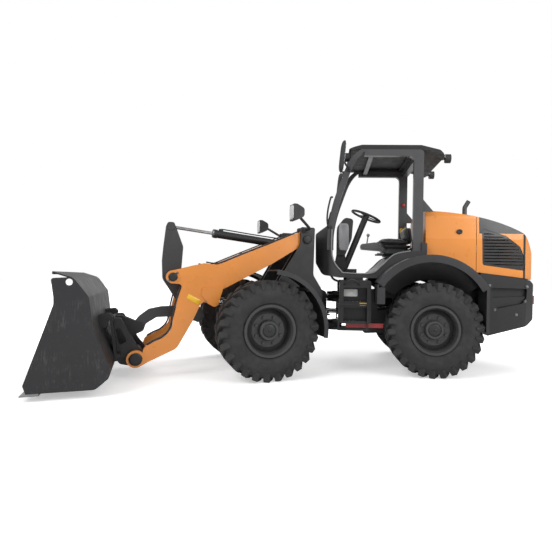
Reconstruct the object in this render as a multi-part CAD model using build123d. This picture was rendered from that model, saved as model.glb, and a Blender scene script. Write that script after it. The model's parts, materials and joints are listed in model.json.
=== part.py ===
from build123d import *
from math import atan2, cos, hypot, radians, sin
import os

# Sizes are in millimetres, with +Z up and the ground at z 0.
# The machine's origin lies under the articulation pin, +X forwards and +Y to the left.
# Each half of the machine is drawn with its own axle over the origin, pointing straight ahead,
# and is then placed from the pin, the front half turned to its parked angle.

# Stance
articulation_angle = 23.0
wheelbase = 2080.0
running_gap = 5.0
seat_gap = 0.3
pin_ahead = wheelbase / 2
pin_behind = -wheelbase / 2

# Wheels
tyre_radius = 495.0
tyre_width = 340.0
track = 1396.0
tread_depth = 26.0
lug_thickness = 56.0
lug_length = 162.0
lug_skew = 30.0
lugs_per_side = 26
shoulder_inset = 34.0
rim_seat_radius = 229.0
rim_flange_radius = 258.0
rim_width = 300.0
rim_wall = 12.0
rim_lip = 14.0
disc_thickness = 16.0
disc_offset = 40.0
disc_dish = 26.0
hub_radius = 98.0
hub_reach = 70.0
wheel_bolt_circle = 270.0
wheel_bolt_count = 8
axle_height = tyre_radius
wheel_y = track / 2

# Axles
axle_tube_radius = 78.0
casing_radius = 160.0
axle_flange_radius = 150.0
axle_flange_thickness = 34.0
spindle_radius = 60.0
spindle_length = 30.0
axle_pad_half = 95.0
axle_pad_top = 110.0

# Loader linkage, straight ahead, as x from the front axle and z from the ground
arm_pivot = (-515.0, 1440.0)
lever_pivot = (885.0, 1006.0)
lever_top = (895.0, 1545.0)
lever_foot = (600.0, 590.0)
link_end = (1207.0, 476.0)
coupler_pivot = (1219.0, 201.0)
tilt_cylinder_foot = (-430.0, 1398.0)
lift_cylinder_foot = (-645.0, 600.0)
lift_cylinder_head = (475.0, 755.0)

arm_y = 355.0
arm_thickness = 56.0
arm_pin_radius = 30.0
coupler_pin_radius = 46.0
coupler_boss_radius = 84.0
lever_boss_radius = 66.0
lever_pin_radius = 31.0
small_pin_radius = 26.0
cross_tube_radius = 65.0
pin_clearance = 0.05
eye_gap = 6.0

lever_plate = 28.0
lever_y = 46.0
link_half = lever_y - lever_plate / 2 - eye_gap
coupler_half_width = 430.0
coupler_plate = 30.0

# Front frame
tower_plate = 25.0
tower_gap = 16.0
tower_stiffener = (-655.0, 800.0)
tower_stiffener_radius = 36.0
tower_inner_y = arm_y - arm_thickness / 2 - tower_gap - tower_plate / 2
tower_outer_y = arm_y + arm_thickness / 2 + tower_gap + tower_plate / 2
front_fender_radius = 595.0
fender_thickness = 14.0
fender_lip = 34.0

# Bucket
bucket_half_width = 950.0
bucket_side_plate = 20.0
bucket_sheet = 12.0
bucket_floor_z = 66.0
edge_thickness = 20.0
lifting_hole_radius = 27.0

# Rear frame
frame_plate = 30.0
rear_frame_y = 240.0
hinge_radius = 95.0
hinge_pin_radius = 32.0
hinge_levels = (455.0, 800.0)
rear_lug_thickness = 34.0
front_lug_thickness = 40.0
engine_bottom = 690.0
counterweight_half_width = 500.0
counterweight_seat = -640.0
towing_pin_radius = 17.0
towing_bore_top = 830.0

# Rear fenders: an arch whose centre lies ahead of and above the axle
arch_ahead = 50.0
arch_above = 110.0
arch_radius = 675.0
arch_lip = 80.0
arch_span = (34.0, 150.0)
fender_outer_y = wheel_y + tyre_width / 2 + 4.0

# Hood
hood_wall = 6.0
hood_seam = -520.0
hood_front = 40.0
hood_rear = -1182.0
hood_half_width = 480.0
hood_gap = 3.0
hood_shoulder = 110.0
hood_hinge = (hood_seam, 1752.0)
knuckle_radius = 12.0
knuckle_pin_radius = 6.0
knuckle_y = 290.0
exhaust_place = (-477.0, 170.0)
exhaust_radius = 26.0

# Operator's place
tub_half_width = 560.0
tub_wall = 25.0
floor_top = 1075.0
floor_bottom = 1030.0
cowl_front = pin_ahead + 235.0
cowl_half_width = 330.0
canopy_half_width = 540.0
post_depth = 60.0
post_width = 72.0
rear_post_front = 192.0
rear_post_rear = 85.0
post_foot = 1335.0
roof_top = 2505.0
roof_thickness = 50.0
rail_depth = 70.0
rail_top = roof_top - roof_thickness

# Steering
steering_centre = (pin_ahead - 371.0, 0.0, 1786.0)
steering_tilt = 21.6
steering_wheel_radius = 180.0
steer_foot = (-370.0, 180.0)
steer_head = (180.0, 180.0)
steer_level = 625.0
steer_barrel_length = 350.0
steer_rod_length = 340.0

# Sizes shared by several pieces
frame_nose = pin_ahead - 330.0
engine_cross_members = (counterweight_seat + 30.0, -280.0)
engine_top = 1360.0
counterweight_rear = -1198.0
shelf_top = 1310.0
grille_slots = 12
grille_pitch = 34.0
inner_rail_y = canopy_half_width - post_depth - 10.0
seat_cushion_bottom = 1400.0
seat_cushion_top = 1500.0
seat_back_top = 1650.0
seat_half_width = 235.0
box_inner_y = 440.0
box_outer_y = 690.0
box_top = 1002.0
step_reach = 21.0
steer_eye_half = 20.0
steer_ear = 16.0
steer_pin_radius = 18.0
front_cross = 250.0
tilt_eye_half = 24.0
tilt_ear = 26.0
lift_eye_half = 22.0
lift_ear = 14.0
cross_tube_place = (410.0, 1020.0)
lever_hub_half = 80.0
coupler_side_y = 300.0
coupler_lug = 26.0
coupler_tube_radius = 52.0
lifting_hole = (1715.0, 953.0)

os.makedirs("parts", exist_ok=True)

rear_place = Pos(pin_behind, 0, 0)
front_place = Rot(0, 0, articulation_angle) * Pos(pin_ahead, 0, 0)


def write_out(nodes):
    """Moves the machine so that the middle of its footprint lies over the origin, then writes it."""
    boxes = [shape.bounding_box() for shape in nodes.values()]
    middle_x = (min(b.min.X for b in boxes) + max(b.max.X for b in boxes)) / 2
    middle_y = (min(b.min.Y for b in boxes) + max(b.max.Y for b in boxes)) / 2
    for name, shape in nodes.items():
        shape = Pos(-middle_x, -middle_y, 0) * shape
        shape.label = name
        export_step(shape, f"parts/{name}.step")


def outline(corners):
    """Closed outline through (x, z) corners; a third number rounds its corner."""
    points = [corner[:2] for corner in corners]
    radii = [corner[2] if len(corner) > 2 else 0.0 for corner in corners]
    return make_face(FilletPolyline(*points, radius=radii, close=True))


def plate(sketch, y_centre, thickness):
    return Pos(0, y_centre + thickness / 2, 0) * extrude(Plane.XZ * sketch, amount=thickness)


def plan_prism(sketch, z_low, z_high):
    return Pos(0, 0, z_low) * extrude(sketch, amount=z_high - z_low)


def block(x_range, y_range, z_range):
    size = [high - low for low, high in (x_range, y_range, z_range)]
    centre = [(high + low) / 2 for low, high in (x_range, y_range, z_range)]
    return Pos(*centre) * Box(*size)


def cross_pin(point, radius, y_low, y_high):
    return Pos(point[0], (y_low + y_high) / 2, point[1]) * Rot(90, 0, 0) * Cylinder(radius, y_high - y_low)


def other_side(solid):
    return mirror(solid, about=Plane.XZ)


def both_sides(solid):
    return solid + other_side(solid)


def bar_between(start, end, radius):
    path = Vector(*end) - Vector(*start)
    return extrude(Plane(origin=start, z_dir=path) * Circle(radius), amount=path.length)


def bent_bar(points, radius, bend):
    path = FilletPolyline(*points, radius=bend)
    section = Plane(origin=points[0], z_dir=Vector(*points[1]) - Vector(*points[0])) * Circle(radius)
    return sweep(section, path=path)


# Wheels

def tyre():
    half = tyre_width / 2
    carcass = tyre_radius - tread_depth
    seat = rim_seat_radius + seat_gap
    bead_y = rim_width / 2 - rim_lip
    wall_y = half - 14
    wall_r = rim_flange_radius + 20
    shoulder = (half - shoulder_inset, carcass - 12)
    bulge = (half, (wall_r + carcass) / 2)
    line = Polyline((-wall_y, wall_r), (-bead_y, rim_flange_radius + 4), (-bead_y, seat), (bead_y, seat),
                    (bead_y, rim_flange_radius + 4), (wall_y, wall_r))
    line += ThreePointArc((wall_y, wall_r), bulge, shoulder)
    line += ThreePointArc(shoulder, (0, carcass), (-shoulder[0], shoulder[1]))
    line += ThreePointArc((-shoulder[0], shoulder[1]), (-bulge[0], bulge[1]), (-wall_y, wall_r))
    body = revolve(Plane.YZ * make_face(line), axis=Axis.Y)
    root = carcass - 60
    foot = Plane(origin=(0, half - lug_length / 2 + 3, root)) * Rot(0, 0, lug_skew)
    lug = extrude(foot * Rectangle(lug_thickness + 12, lug_length), amount=tyre_radius + 10 - root, taper=4)
    lug = lug & Rot(90, 0, 0) * Cylinder(tyre_radius, tyre_width)
    step = 360 / lugs_per_side
    lugs = [Rot(0, step * i, 0) * lug for i in range(lugs_per_side)]
    lugs += [Rot(0, step * (i + 0.5), 0) * other_side(lug) for i in range(lugs_per_side)]
    return body + lugs


def rim():
    half = rim_width / 2
    barrel = rim_seat_radius - rim_wall
    lip = rim_lip - seat_gap
    face = disc_offset + disc_thickness
    hub_end = disc_offset + hub_reach
    profile = Polyline(
        (-half, rim_seat_radius + 4), (-half, rim_flange_radius), (-half + lip, rim_flange_radius),
        (-half + lip, rim_seat_radius), (half - lip, rim_seat_radius), (half - lip, rim_flange_radius),
        (half, rim_flange_radius), (half, rim_seat_radius + 4), (half - 2 * rim_lip, barrel),
        (face - disc_dish, barrel), (face, barrel - 2 * disc_dish), (face, hub_radius + 8),
        (face + 8, hub_radius), (hub_end - 8, hub_radius), (hub_end, hub_radius - 8), (hub_end, 0),
        (disc_offset, 0), (disc_offset, barrel - 2 * disc_dish - 6), (disc_offset - disc_dish, barrel),
        (-half + 2 * rim_lip, barrel), close=True)
    solid = revolve(Plane.YZ * make_face(profile), axis=Axis.Y)
    solid -= cross_pin((0, 0), hub_radius - 26, hub_end - 6, hub_end + 1)
    solid -= cross_pin((0, 0), spindle_radius + pin_clearance, disc_offset - 1,
            disc_offset + spindle_length)
    stand = Plane(origin=(wheel_bolt_circle / 2, face - 4, 0), z_dir=(0, 1, 0))
    nut = extrude(stand * RegularPolygon(15, 6), amount=22)
    step = 360 / wheel_bolt_count
    return solid + [Rot(0, step * (i + 0.5), 0) * nut for i in range(wheel_bolt_count)]


def axle(toward_pin):
    reach = wheel_y + disc_offset - running_gap
    flange = reach - axle_flange_thickness
    half = Polyline((0, 0), (0, casing_radius), (60, casing_radius), (150, axle_tube_radius + 22),
                    (flange - 120, axle_tube_radius), (flange - 40, axle_tube_radius + 12),
                    (flange, axle_flange_radius), (reach, axle_flange_radius), (reach, spindle_radius),
                    (reach + spindle_length, spindle_radius), (reach + spindle_length, 0), close=True)
    arm = revolve(Plane.YZ * make_face(half), axis=Axis.Y)
    solid = Pos(0, 0, axle_height) * both_sides(arm)
    nose = casing_radius + 130
    solid += bar_between((0, 0, axle_height), (toward_pin * nose, 0, axle_height), 50)
    solid += bar_between((toward_pin * (nose - 30), 0, axle_height), (toward_pin * nose, 0, axle_height),
            62)
    return solid


def axle_pads(y_centre):
    pad = block((-axle_pad_half, axle_pad_half), (y_centre - 45, y_centre + 45),
                (axle_height, axle_height + axle_pad_top))
    return both_sides(pad)


def pad_notch(y_reach):
    side = axle_pad_half + running_gap
    return block((-side, side), (-y_reach, y_reach), (0, axle_height + axle_pad_top))


# Rear frame

def hinge_lug(level, thickness, pin_x, plate_x):
    ring = Pos(pin_x, 0, level) * Cylinder(hinge_radius, thickness)
    levels = (level - thickness / 2, level + thickness / 2)
    return ring + block(sorted((pin_x, plate_x)), (-hinge_radius, hinge_radius), levels)


def rear_chassis():
    side = outline([(frame_nose, 380, 40), (frame_nose, 880, 40), (frame_nose - 290, 900),
                    (counterweight_seat, 880), (counterweight_seat, 450), (hood_seam, 420, 60),
                    (frame_nose - 370, 400, 60)])
    window = outline([(frame_nose - 170, 640, 20), (frame_nose - 170, 800, 30), (frame_nose - 420, 800, 30),
                      (frame_nose - 420, 680, 30)])
    solid = both_sides(plate(side - window, rear_frame_y, frame_plate))
    inner = rear_frame_y - frame_plate / 2
    cross_x = frame_nose - 120
    solid += block((cross_x, cross_x + frame_plate), (-inner, inner), (390, 880))
    for x in engine_cross_members:
        solid += block((x, x + frame_plate), (-inner, inner), (460, engine_bottom))
    gap = front_lug_thickness / 2 + running_gap + rear_lug_thickness / 2
    for level in hinge_levels:
        for shift in (-gap, gap):
            solid += hinge_lug(level + shift, rear_lug_thickness, pin_ahead, cross_x + 10)
        solid += Pos(pin_ahead, 0, level) * Cylinder(hinge_pin_radius, 2 * gap + rear_lug_thickness + 16)
    ear_shift = steer_eye_half + eye_gap + steer_ear / 2
    for side_sign in (-1, 1):
        foot = Pos(pin_ahead + steer_foot[0], side_sign * steer_foot[1], steer_level)
        for shift in (-ear_shift, ear_shift):
            solid += foot * Pos(0, 0, shift) * Box(110, 100, steer_ear)
        solid += foot * Cylinder(steer_pin_radius, 2 * ear_shift + steer_ear)
    return solid - pad_notch(2 * rear_frame_y)


def counterweight():
    w = counterweight_half_width
    rear = counterweight_rear
    form = outline([(-560, 1108, 20), (-1132, 1032, 30), (rear, 980, 40), (rear, 600, 60), (-1090, 530, 40),
                    (-650, 410, 25), (-590, 440, 20)])
    plan = outline([(-400, -w), (-1050, -w, 80), (rear, -w + 120, 60), (rear, w - 120, 60), (-1050, w, 80),
                    (-400, w)])
    solid = plate(form, 0, 2 * w) & plan_prism(plan, 300, 1300)
    solid -= block((-910, -400), (-350, 350), (640, 1300))
    chassis_room = rear_frame_y + frame_plate
    solid -= block((counterweight_seat, -400), (-chassis_room, chassis_room), (300, 1300))
    recess = outline([(-673, 945, 20), (-1083, 937, 20), (-1074, 836, 40), (-1019, 771, 30),
            (-750, 713, 20), (-706, 829, 20)])
    solid -= both_sides(plate(recess, w, 130))
    shelf = outline([(-700, 830), (-1068, 850), (-1019, 771), (-740, 716)])
    solid += both_sides(plate(shelf, w - 52, 36))
    solid -= block((rear - 1, rear + 90), (-55, 55), (640, 720))
    return solid - Pos(rear + 45, 0, towing_bore_top / 2) * Cylinder(towing_pin_radius, towing_bore_top)


def engine_block():
    return block((-880, -140), (-200, 200), (engine_bottom, engine_top))


def arch_cut(radius):
    return cross_pin((arch_ahead, axle_height + arch_above), radius, -900, 900)


def hood_form(inset):
    rear = hood_rear + inset
    top = 1815 - inset
    crown = Spline((hood_front, 1806 - inset), (-390, 1760 - inset), (-765, 1670 - inset),
            (-980, 1582 - inset))
    drop = Spline((-980, 1582 - inset), (-1088 + inset, 1500 - inset / 2), (-1150 + inset, 1380),
            (rear, 1150), tangents=(crown % 1, (0, -1)))
    frame_line = Polyline((rear, 1150), (rear, 900), (hood_front, 900), (hood_front, 1806 - inset))
    side = plate(make_face(crown + drop + frame_line), 0, 1200)
    w = hood_half_width - inset
    section = outline([(-w, 800), (-w, 1480, 60), (-w + 30, top, hood_shoulder),
            (w - 30, top, hood_shoulder), (w, 1480, 60), (w, 800)])
    length = Pos(-1400, 0, 0) * extrude(Plane.YZ * section, amount=1600)
    plan = outline([(200, -w), (-1040, -w, 120), (rear - 1, -w + 110, 90), (rear - 1, w - 110, 90),
                    (-1040, w, 120), (200, w)])
    return side & length & plan_prism(plan, 800, 1900)


def hood_underside():
    above_weight = outline([(300, 300), (300, 1000), (-500, 1116), (-1132, 1044), (-1300, 1030),
            (-1300, 300)])
    return arch_cut(arch_radius + running_gap) + plate(above_weight, 0, 1300)


def knuckle(y_low, y_high, toward):
    leaf = block(sorted((hood_hinge[0] + toward * (hood_gap + 1), hood_hinge[0] + toward * 50)),
                 (y_low, y_high), (1718, hood_hinge[1]))
    return leaf + cross_pin(hood_hinge, knuckle_radius, y_low, y_high)


def hood_front_panel():
    shell = hood_form(0) - hood_form(hood_wall) - hood_underside()
    part = shell & block((hood_seam + hood_gap, 200), (-600, 600), (700, 2000))
    bulkhead = hood_form(0) & block((hood_front - 20, hood_front), (-600, 600), (shelf_top, 2000))
    part += bulkhead
    for y in (-knuckle_y, knuckle_y):
        part += knuckle(y - 45, y - 20, 1) + knuckle(y + 20, y + 45, 1)
        part += cross_pin(hood_hinge, knuckle_pin_radius, y - 45, y + 45)
    return part - Pos(exhaust_place[0], exhaust_place[1], 1700) * Cylinder(exhaust_radius + 4, 600)


def engine_hood():
    shell = hood_form(0) - hood_form(hood_wall) - hood_underside()
    part = shell & block((-1400, hood_seam - hood_gap), (-600, 600), (700, 2000))
    window = outline([(-579, 1602, 30), (-590, 1193, 30), (-1047, 1136, 30), (-1060, 1160, 20),
                      (-1045, 1290, 40), (-1000, 1400, 60), (-842, 1521, 60)])
    part -= both_sides(plate(window, hood_half_width, 60))
    screen = plate(offset(window, 14), hood_half_width - hood_wall - 5, 10)
    slot_area = plate(offset(window, -22), hood_half_width, 120)
    for i in range(grille_slots):
        slot = Pos(-820, hood_half_width, 1200 + grille_pitch * i) * Box(700, 60, grille_pitch / 3)
        screen -= slot & slot_area
    part += both_sides(screen & hood_form(hood_wall - 1))
    for y in (-knuckle_y, knuckle_y):
        part += knuckle(y - 15, y + 15, -1)
        part -= cross_pin(hood_hinge, knuckle_pin_radius + pin_clearance, y - 16, y + 16)
    return part


def exhaust_pipe():
    x, y = exhaust_place
    route = [(x, y, engine_top), (x, y, 1880), (x - 45, y, 1955)]
    return bent_bar(route, exhaust_radius, 60)


def rear_fenders():
    first, last = arch_span
    under = arch_radius - fender_thickness
    lip = arch_radius - arch_lip
    outer = fender_outer_y
    profile = outline([(tub_half_width, under), (tub_half_width, arch_radius), (outer, arch_radius, 12),
                       (outer, lip), (outer - fender_thickness, lip), (outer - fender_thickness, under)])
    shell = revolve(Plane.YZ * profile, axis=Axis.Y, revolution_arc=last - first)
    shell = Pos(arch_ahead, 0, axle_height + arch_above) * Rot(0, 90 - last, 0) * shell
    front = arch_ahead + arch_radius * cos(radians(first))
    rear = arch_ahead + arch_radius * cos(radians(last))
    front_top = axle_height + arch_above + arch_radius * sin(radians(first)) - 20
    rear_top = axle_height + arch_above + arch_radius * sin(radians(last)) - 6
    band = outer - fender_thickness
    shell += block((front - fender_thickness, front), (tub_half_width, outer), (760, front_top))
    shell += block((front - arch_lip, front), (band, outer), (760, front_top - 30))
    shell += block((rear, rear + fender_thickness), (tub_half_width, outer), (480, rear_top))
    shell += block((rear, rear + 30), (band, outer), (480, rear_top))
    shell += block((counterweight_seat, rear + 4), (counterweight_half_width, tub_half_width + 15),
            (700, 730))
    return both_sides(shell)


# Operator's place

def cab_tub():
    p = pin_ahead
    side = outline([(cowl_front, 1525, 30), (cowl_front - 7, 1190, 60), (p + 150, 1060, 60),
            (p - 60, floor_bottom), (p - 700, floor_bottom), (hood_front, floor_bottom), (hood_front, 1420),
            (p + 60, 1600, 40), (p + 92, 1612, 30), (p + 180, 1560, 40)])
    w = tub_half_width
    plan = outline([(0, -w), (p + 60, -w, 120), (cowl_front + 2, -cowl_half_width, 60),
                    (cowl_front + 2, cowl_half_width, 60), (p + 60, w, 120), (0, w)])
    solid = plate(side, 0, 2 * w) & plan_prism(plan, 900, 1700)
    solid -= arch_cut(arch_radius - fender_thickness + 2)
    inner = outline([(p + 205, 1500), (p + 205, 1210, 40), (p + 140, 1110, 40), (p + 60, floor_top),
            (p - 400, floor_top, 60), (p - 520, 1200), (p - 640, shelf_top, 60),
            (hood_front + tub_wall, shelf_top), (hood_front + tub_wall, 1800), (p + 60, 1800),
            (p + 80, 1560)])
    v = w - tub_wall
    inside_plan = outline([(-100, -v), (p + 50, -v, 100), (p + 210, -cowl_half_width + 20, 40),
                           (p + 210, cowl_half_width - 20, 40), (p + 50, v, 100), (-100, v)])
    room = plate(inner, 0, 2 * w) & plan_prism(inside_plan, 900, 1900)
    door = outline([(p + 49, 1820), (p + 49, 1329, 60), (p + 20, 1200, 60), (p - 59, 1100, 60),
            (p - 114, 1078, 40), (p - 387, 1078, 60), (p - 506, 1162, 60), (p - 640, 1285, 80),
            (rear_post_front + 20, post_foot), (hood_front + 60, post_foot), (hood_front + 60, 1820)])
    return solid - room - plate(door, 0, 3 * w) - rops_frame()


def rops_frame():
    p = pin_ahead
    y_mid = canopy_half_width - post_depth / 2
    inner = canopy_half_width - post_depth
    low_line = ((p + 98, post_foot), (p + 86, 1610), (p + 30, 1889), (p - 44, 2111), (p - 140, 2334),
            (p - 262, rail_top))
    back_line = [(x - post_width, z) for x, z in low_line]
    edge = Spline(*low_line) + Line(low_line[-1], back_line[-1]) + Spline(*reversed(back_line))
    edge += Line(back_line[0], low_line[0])
    frame = plate(make_face(edge), y_mid, post_depth)
    rear_post = outline([(rear_post_rear, post_foot), (rear_post_front, post_foot),
            (rear_post_front, rail_top - rail_depth, 60), (p - 300, rail_top - rail_depth),
            (p - 300, rail_top), (rear_post_rear, rail_top, 40)])
    frame += plate(rear_post, y_mid, post_depth)
    gusset = outline([(rear_post_rear, 1774), (rear_post_rear, 1913), (rear_post_rear - 119, 1774)])
    frame += plate(gusset, y_mid, 12)
    frame = both_sides(frame)
    frame += block((rear_post_rear, rear_post_rear + rail_depth), (-inner, inner),
            (rail_top - rail_depth, rail_top))
    frame += block((p - 410, p - 360), (-inner, inner), (rail_top - 50, rail_top))
    frame += block((rear_post_rear, rear_post_rear + 50), (-inner, inner), (post_foot, post_foot + 60))
    return frame


def roof():
    p, top, under = pin_ahead, roof_top, roof_top - roof_thickness
    side = outline([(p - 115, top - 42, 6), (p - 270, top, 60), (115, top, 80), (-90, top - 50, 40),
            (-150, top - 95, 6), (-150, top - 120), (-80, under - 35, 30), (70, under), (p - 140, under)])
    w = canopy_half_width
    plan = outline([(-150, -w, 60), (p - 115, -w, 90), (p - 115, w, 90), (-150, w, 60)])
    solid = plate(side, 0, 2 * w) & plan_prism(plan, 2300, 2600)
    return solid - block((210, p - 430), (-inner_rail_y, inner_rail_y), (under - 1, under + 28))


def seat():
    base = block((210, 395), (-170, 170), (shelf_top, seat_cushion_bottom))
    cushion = plate(outline([(150, seat_cushion_bottom, 20), (150, seat_cushion_top, 15),
            (550, seat_cushion_top, 45), (550, seat_cushion_bottom, 20)]), 0, 2 * seat_half_width)
    back = plate(outline([(170, seat_cushion_top - 30), (145, seat_back_top, 25), (205, seat_back_top, 25),
                          (250, seat_cushion_top - 30)]), 0, 2 * seat_half_width - 20)
    return base + cushion + back


def steering_wheel():
    ring = Torus(steering_wheel_radius, 14)
    hub = Cylinder(40, 30)
    spoke = Pos(steering_wheel_radius / 2, 0, 0) * Box(steering_wheel_radius, 30, 10)
    wheel = ring + hub + [Rot(0, 0, 120 * i + 60) * spoke for i in range(3)]
    return Pos(*steering_centre) * Rot(0, -steering_tilt, 0) * wheel


def steering_column():
    p = pin_ahead
    column = Pos(*steering_centre) * Rot(0, -steering_tilt, 0) * Pos(0, 0,
            -15 - seat_gap - 450) * Cylinder(38, 900)
    column &= block((0, p + 200), (-200, 200), (floor_top, 2000))
    dash = plate(outline([(p - 15, 1300, 20), (p - 15, 1640, 80), (p - 110, 1758, 60), (p - 213, 1740, 40),
                          (p - 195, 1500, 60), (p - 120, 1300, 20)]), 0, 200)
    pedestal = plate(outline([(p - 150, floor_top), (p + 30, floor_top), (p - 15, 1310),
            (p - 120, 1310)]), 0, 150)
    pedals = block((p - 260, p - 130), (40, 110), (floor_top, floor_top + 60))
    return column + dash + pedestal + pedals + other_side(pedals)


def side_console():
    wall = tub_half_width - tub_wall
    form = outline([(210, shelf_top), (395, shelf_top), (430, 1390, 30), (700, 1410, 30), (700, 1475, 20),
            (520, 1500, 20), (210, 1480, 20)])
    console = plate(form, -wall + 85, 170)
    stick = bar_between((620, -wall + 85, 1450), (600, -wall + 85, 1590), 9)
    return console + stick + Pos(600, -wall + 85, 1600) * Sphere(22)


def step_boxes():
    rear, front = pin_ahead - 385, pin_ahead - 45
    box = plate(outline([(rear, 535, 30), (rear, box_top, 30), (front, box_top, 30), (front, 535, 30)]),
                (box_inner_y + box_outer_y) / 2, box_outer_y - box_inner_y)
    for low in (560, 770):
        box -= block((rear + 45, front - 45), (box_outer_y - 110, box_outer_y + 1), (low, low + 150))
    box += block((rear + 80, rear + 260), (box_inner_y + 60, box_inner_y + 120),
            (box_top - 5, floor_bottom))
    box += block((rear, rear + 45), (rear_frame_y + frame_plate / 2, box_inner_y + 5), (600, 700))
    edge = box_outer_y + step_reach
    for low in (461, 735):
        box += block((rear + 25, pin_ahead - 30), (box_outer_y - 5, edge), (low, low + 16))
    for x in (rear + 25, pin_ahead - 48):
        box += block((x, x + 18), (box_outer_y - 5, edge), (461, 751))
    return both_sides(box)


def mirrors():
    p = pin_ahead
    head = plan_prism(outline([(p - 99, 640, 15), (p - 99, 800, 15), (p - 40, 800, 40), (p - 10, 720, 60),
                               (p - 40, 640, 40)]), 2153, 2490)
    arm = bent_bar([(p - 125, canopy_half_width + 6, 2230), (p - 110, 620, 2230),
            (p - 60, 700, 2290)], 10, 40)
    clamp = block((p - 150, p - 112), (canopy_half_width, canopy_half_width + 12), (2205, 2255))
    return both_sides(head + arm + clamp)


def lamp_body(x_back, x_front, y, z):
    return bar_between((x_back, y, z), (x_front, y, z), 50) - bar_between((x_front - (x_front - x_back) / 8,
            y, z), (x_front, y, z), 43)


def work_lamps():
    p, under = pin_ahead, roof_top - roof_thickness
    front = lamp_body(p - 140, p - 80, 420, under - 60)
    front += block((p - 155, p - 135), (395, 445), (under - 75, under))
    rear = lamp_body(-180, -240, 395, roof_top - 110)
    rear += bar_between((-190, 395, roof_top - 110), (-165, 395, roof_top - 110), 14)
    rear += block((-165, -150), (360, 430), (roof_top - 120, roof_top - 97))
    return both_sides(front + rear)


def lock_bar():
    return block((pin_ahead - 525, pin_ahead - 120), (600, 640), (487, 535))


def rear_lights():
    return both_sides(block((counterweight_rear - 20, counterweight_rear), (250, 350), (760, 860)))


# Front frame

def front_chassis():
    outer = outline([(-605, 1575, 20), (-440, 1575, 20), (-440, 1390, 80), (-280, 1120, 60),
            (-140, 880, 80), (-140, 640, 80), (-420, 540, 60), (-705, 540, 40), (-705, 880, 60),
            (-594, 1051, 80)])
    inner = outline([(-605, 1575, 20), (-440, 1575, 20), (-440, 1390, 80), (-280, 1120, 60),
            (-140, 880, 80), (210, 820, 60), (360, 640, 60), (340, 440, 40), (-740, 380, 40),
            (-805, 450, 30), (-805, 861, 40), (-681, 917, 60), (-594, 1051, 80)])
    inside = tower_inner_y - tower_plate / 2
    outside = tower_outer_y + tower_plate / 2
    half = plate(outer, tower_outer_y, tower_plate) + plate(inner, tower_inner_y, tower_plate)
    half += cross_pin(arm_pivot, arm_pin_radius, inside, outside + 10)
    half += cross_pin(lift_cylinder_foot, arm_pin_radius, inside, outside)
    half += cross_pin(tower_stiffener, tower_stiffener_radius, inside, outside)
    solid = both_sides(half)
    cross_x = pin_behind + front_cross
    solid += block((cross_x, cross_x + 30), (-inside, inside), (390, 861))
    solid += block((-600, -570), (-inside, inside), (900, 1500))
    solid += block((300, 330), (-inside, inside), (450, 650))
    solid += block((-440, -240), (-inside, inside), (562, 587)) + block((230, 320), (-inside, inside),
            (562, 587))
    x, z = tilt_cylinder_foot
    ear_y = tilt_eye_half + eye_gap + tilt_ear / 2
    ear = plate(outline([(-580, z - 60), (x, z - 48), (x, z + 48), (-580, z + 55)]), ear_y, tilt_ear)
    ear += cross_pin(tilt_cylinder_foot, 48, ear_y - tilt_ear / 2, ear_y + tilt_ear / 2)
    solid += both_sides(ear)
    solid += cross_pin(tilt_cylinder_foot, small_pin_radius, -ear_y - tilt_ear / 2 - 4,
            ear_y + tilt_ear / 2 + 4)
    for level in hinge_levels:
        solid += hinge_lug(level, front_lug_thickness, pin_behind, cross_x + 10)
    ear_shift = steer_eye_half + eye_gap + steer_ear / 2
    for shift in (-ear_shift, ear_shift):
        level = steer_level + shift
        head = block((pin_behind + 150, cross_x + 5), (steer_head[1] - 40, steer_head[1] + 40),
                     (level - steer_ear / 2, level + steer_ear / 2))
        solid += both_sides(head)
    solid -= Pos(pin_behind, 0, 700) * Cylinder(hinge_pin_radius + pin_clearance, 2000)
    return solid - pad_notch(700)


def front_fenders():
    first, last = 95.0, 188.0
    over = front_fender_radius + fender_thickness / 2
    under = front_fender_radius - fender_thickness / 2
    inner_y, outer_y = wheel_y - tyre_width / 2, wheel_y + tyre_width / 2 + 4
    profile = outline([(inner_y, under), (inner_y, over), (outer_y, over, 10),
            (outer_y, under - fender_lip), (outer_y - 10, under - fender_lip), (outer_y - 10, under)])
    shell = Pos(0, 0, axle_height) * Rot(0, 90 - last, 0) * revolve(Plane.YZ * profile, axis=Axis.Y,
                                                                    revolution_arc=last - first)
    reach = radians(135)
    stay = ((under - 16) * cos(reach), axle_height + (under - 16) * sin(reach))
    face = tower_outer_y + tower_plate / 2
    shell += cross_pin(stay, 24, face, wheel_y + 100) + cross_pin(stay, 60, face, face + 14)
    return both_sides(shell)


def headlights():
    lamp = plate(outline([(-354, 1640, 40), (-354, 1724, 40), (-275, 1764, 20), (-244, 1764), (-244, 1600),
                          (-275, 1600, 20)]), wheel_y + 6, 150)
    face = tower_outer_y + tower_plate / 2
    stay = bent_bar([(-500, face + 6, 1545), (-500, 540, 1550), (-340, 640, 1660)], 15, 50)
    flange = block((-535, -465), (face, face + 12), (1512, 1572))
    return both_sides(lamp + stay + flange)


# Loader linkage

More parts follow.
